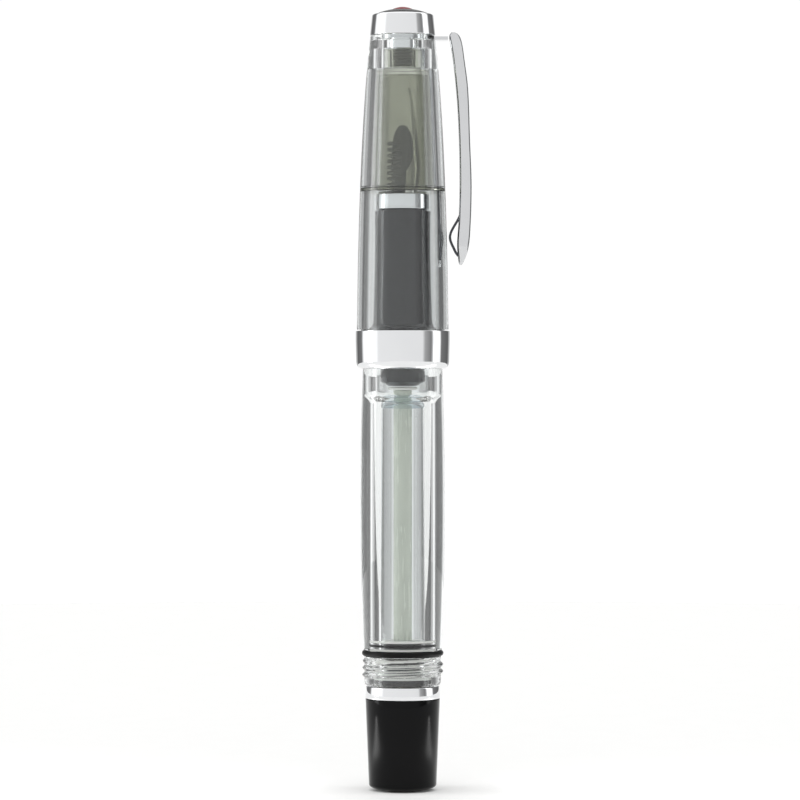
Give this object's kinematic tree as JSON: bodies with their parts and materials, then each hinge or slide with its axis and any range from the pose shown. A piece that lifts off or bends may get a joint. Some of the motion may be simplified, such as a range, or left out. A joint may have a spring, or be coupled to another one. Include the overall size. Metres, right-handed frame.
{
  "type": "fountain pen",
  "caption": "Clear vacuum-filling fountain pen, capped, with a screw cap, sprung clip, plunger rod and a black filler knob at the tail.",
  "frame": {"origin": "centre of the flat on the end of the filler knob, on the pen's axis", "axes": "+Z along the pen from the knob up to the finial, +X towards the clip"},
  "size_m": [0.019, 0.0154, 0.1279],
  "materials": {
    "clear_polycarbonate": "clear, injection moulded and polished",
    "smoke_plastic": "smoke-tinted, translucent",
    "black_gloss_resin": "polished",
    "black_matt_plastic": "moulded, matt",
    "milky_plastic": "natural, slightly translucent",
    "white_plastic": "moulded",
    "clear_silicone": "translucent, satin",
    "black_rubber": "satin",
    "chrome_plate": "mirror polished",
    "polished_steel": "polished",
    "turned_brass": "turned",
    "red_resin": "polished"
  },
  "bodies": {
    "knob_body": {"filler_knob": "black_gloss_resin", "knob_trim_ring": "chrome_plate", "knob_thread_insert": "turned_brass"},
    "plunger_body": {"plunger_rod": "milky_plastic", "plunger_button": "white_plastic", "plunger_seal": "clear_silicone"},
    "barrel_body": {"barrel_tube": "clear_polycarbonate", "posting_oring": "black_rubber", "seal_housing": "milky_plastic", "housing_oring": "black_rubber", "rod_oring_upper": "black_rubber", "rod_seal_washer": "white_plastic", "rod_oring_lower": "black_rubber", "gland_nut": "turned_brass", "grip_section": "black_gloss_resin", "section_oring": "black_rubber", "section_ring": "chrome_plate", "nib_collar": "black_matt_plastic", "feed": "black_matt_plastic", "nib": "polished_steel"},
    "cap_liner_body": {"inner_cap": "smoke_plastic"},
    "cap_body": {"cap_tube": "clear_polycarbonate", "cap_band": "chrome_plate", "finial_screw": "chrome_plate", "finial_ring": "chrome_plate", "finial_dome": "black_gloss_resin", "finial_inset": "red_resin", "clip_washer": "chrome_plate"},
    "clip_body": {"clip_arm": "chrome_plate", "clip_tongue": "chrome_plate"}
  },
  "joints": [
    {"name": "knob_turn", "type": "hinge", "parent": "knob_body", "child": "plunger_body", "pos_m": [0, 0, 0.0151], "axis": [0, 0, 1], "range_deg": [0, 630]},
    {"name": "plunger_stroke", "type": "slide", "parent": "plunger_body", "child": "barrel_body", "axis": [0, 0, 1], "range_m": [0, 0.0375]},
    {"name": "cap_pull", "type": "slide", "parent": "barrel_body", "child": "cap_liner_body", "axis": [0, 0, 1], "range_m": [0, 0.055]},
    {"name": "cap_turn", "type": "hinge", "parent": "cap_liner_body", "child": "cap_body", "pos_m": [0, 0, 0.0723], "axis": [0, 0, 1], "range_deg": [0, 450]},
    {"name": "clip_flex", "type": "hinge", "parent": "cap_body", "child": "clip_body", "pos_m": [0.0075, 0, 0.1227], "axis": [0, -1, 0], "range_deg": [0, 6], "stiffness_Nm_per_rad": 0.8}
  ]
}
